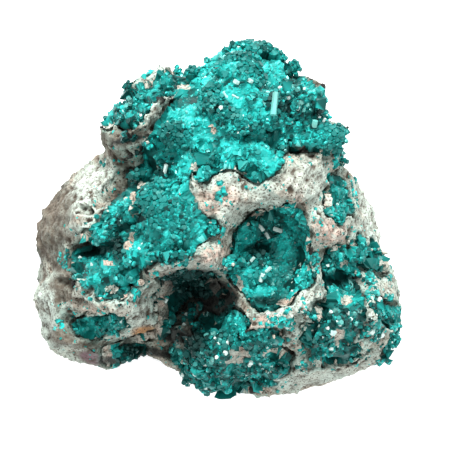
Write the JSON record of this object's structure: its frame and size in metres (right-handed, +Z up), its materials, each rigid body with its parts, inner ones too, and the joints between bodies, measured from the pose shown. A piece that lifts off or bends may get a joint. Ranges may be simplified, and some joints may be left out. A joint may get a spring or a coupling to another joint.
{
  "type": "dioptase cluster",
  "caption": "Lump of pale porous matrix rock lying on its flat broken back, crusted with druses of small blue-green dioptase crystals over its crown, ledges and hollows.",
  "frame": {"origin": "on the flat resting face, under the middle of the plan's bounding box", "axes": "+Z up from the resting face, out through the crystals; +Y towards the overhanging crown; +X across, to the right when looking down with the crown at the top"},
  "size_m": [0.057, 0.0546, 0.0306],
  "materials": {
    "matrix": "rough, porous",
    "dioptase": "glossy, vitreous"
  },
  "bodies": {
    "root": {"matrix_rock": "matrix", "main_druse": "dioptase", "pocket_druse": "dioptase", "right_rim_druse": "dioptase", "right_druse": "dioptase", "far_right_druse": "dioptase", "bottom_druse": "dioptase", "lower_left_druse": "dioptase", "hollow_druse": "dioptase"}
  },
  "joints": []
}
